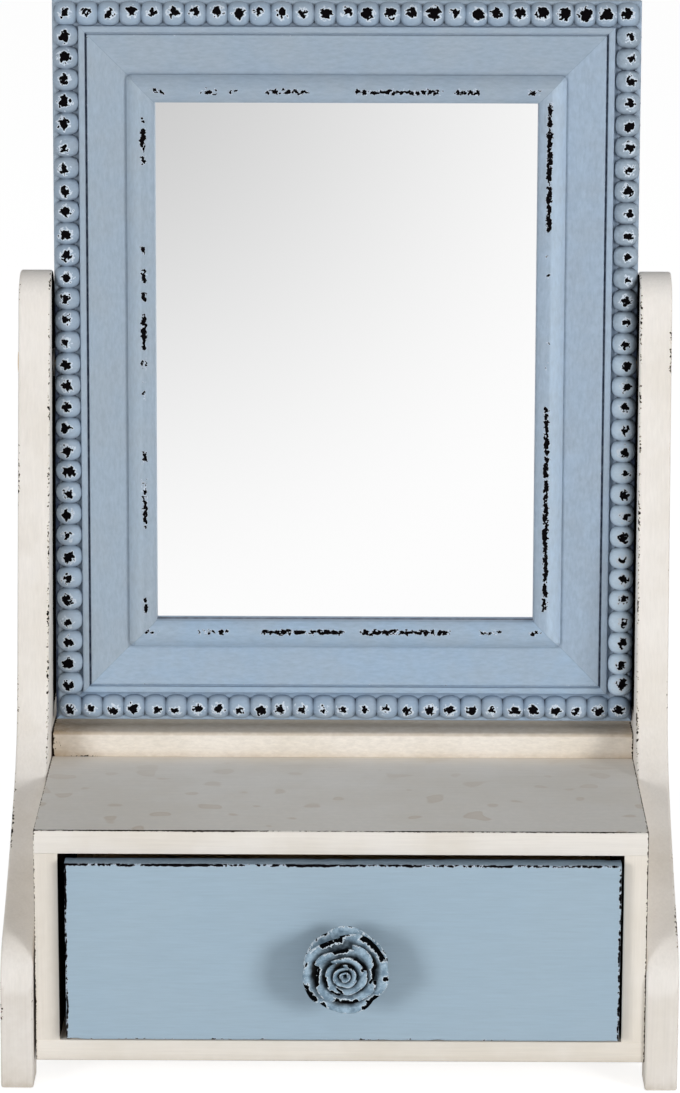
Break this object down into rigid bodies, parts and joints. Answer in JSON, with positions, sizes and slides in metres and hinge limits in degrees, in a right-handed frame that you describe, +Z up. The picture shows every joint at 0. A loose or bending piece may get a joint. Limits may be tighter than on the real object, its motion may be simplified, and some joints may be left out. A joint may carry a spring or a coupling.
{
  "type": "vanity mirror with drawer",
  "caption": "Painted wooden table mirror: beaded frame swinging between shaped side panels over a low cabinet with a drawer and rose knob.",
  "frame": {"origin": "on the table, below the middle of the object's bounding box", "axes": "+Z up, -Y towards the viewer (the drawer opens that way), +X to the viewer's right"},
  "size_m": [0.37, 0.2332, 0.5781],
  "materials": {
    "cream_paint": "eggshell off-white paint, lightly worn",
    "blue_paint": "matt blue-grey paint rubbed back at the edges",
    "pine": "bare planed pine",
    "beech": "bare beech",
    "plywood": "bare thin plywood",
    "hardboard": "smooth brown hardboard",
    "mirror_glass": "silvered float glass",
    "zinc_steel": "zinc plated",
    "brass": "plain brass",
    "nylon": "natural nylon",
    "felt": "grey pressed felt"
  },
  "bodies": {
    "base": {"left_side_panel": "cream_paint", "right_side_panel": "cream_paint", "foot_glides": "felt", "cabinet_bottom": "cream_paint", "cabinet_top": "cream_paint", "cabinet_left_wall": "cream_paint", "cabinet_right_wall": "cream_paint", "cabinet_back": "plywood", "back_rail": "cream_paint", "rail_dowels": "beech", "cabinet_splines": "beech"},
    "drawer": {"drawer_front": "blue_paint", "drawer_left_side": "pine", "drawer_right_side": "pine", "drawer_back": "pine", "drawer_bottom": "plywood", "rose_knob": "blue_paint", "knob_screw": "zinc_steel"},
    "mirror": {"frame_top_rail": "blue_paint", "frame_bottom_rail": "blue_paint", "frame_left_stile": "blue_paint", "frame_right_stile": "blue_paint", "mitre_fasteners": "zinc_steel", "glazing_points": "zinc_steel", "mirror_glass": "mirror_glass", "backing_board": "hardboard", "top_bead_strip": "blue_paint", "bottom_bead_strip": "blue_paint", "left_bead_strip": "blue_paint", "right_bead_strip": "blue_paint", "left_pivot_bolt": "zinc_steel", "right_pivot_bolt": "zinc_steel", "pivot_inserts": "brass", "pivot_washers": "nylon"}
  },
  "joints": [
    {"name": "drawer_slide", "type": "slide", "parent": "base", "child": "drawer", "axis": [0, -1, 0], "range_m": [0, 0.12]},
    {"name": "mirror_tilt", "type": "hinge", "parent": "base", "child": "mirror", "pos_m": [0.0012, 0.09538, 0.373], "axis": [1, 0, 0], "continuous": true}
  ]
}
